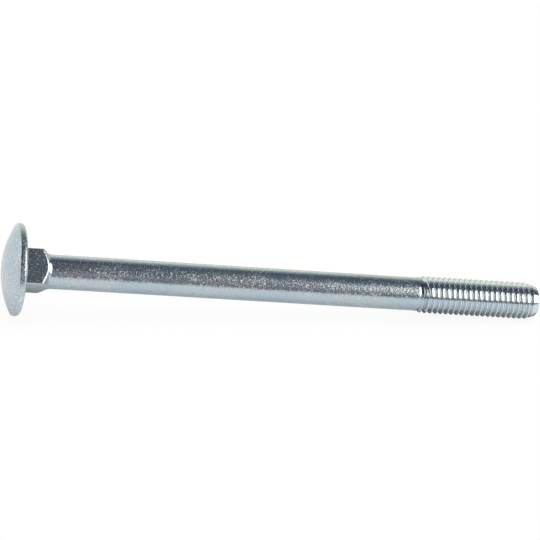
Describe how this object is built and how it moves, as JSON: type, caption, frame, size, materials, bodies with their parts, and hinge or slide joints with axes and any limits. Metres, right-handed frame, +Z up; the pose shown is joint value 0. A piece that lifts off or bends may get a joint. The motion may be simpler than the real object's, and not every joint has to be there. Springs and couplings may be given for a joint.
{
  "type": "carriage bolt",
  "caption": "Zinc-plated carriage bolt with a low domed head, a square neck, a long plain shank and a rolled right-hand thread at the tip.",
  "frame": {"origin": "on the surface the bolt lies on, under the middle of its bounding box", "axes": "+X from the head towards the tip along the surface, +Z up; the bolt rests on its head's rim and its thread, so its own axis dips towards +X by 2.9 degrees"},
  "size_m": [0.145, 0.0238, 0.0238],
  "materials": {
    "zinc_plated_steel": "bright blue-white zinc plating with a fine mottled texture"
  },
  "bodies": {
    "root": {"carriage_bolt": "zinc_plated_steel"}
  },
  "joints": []
}
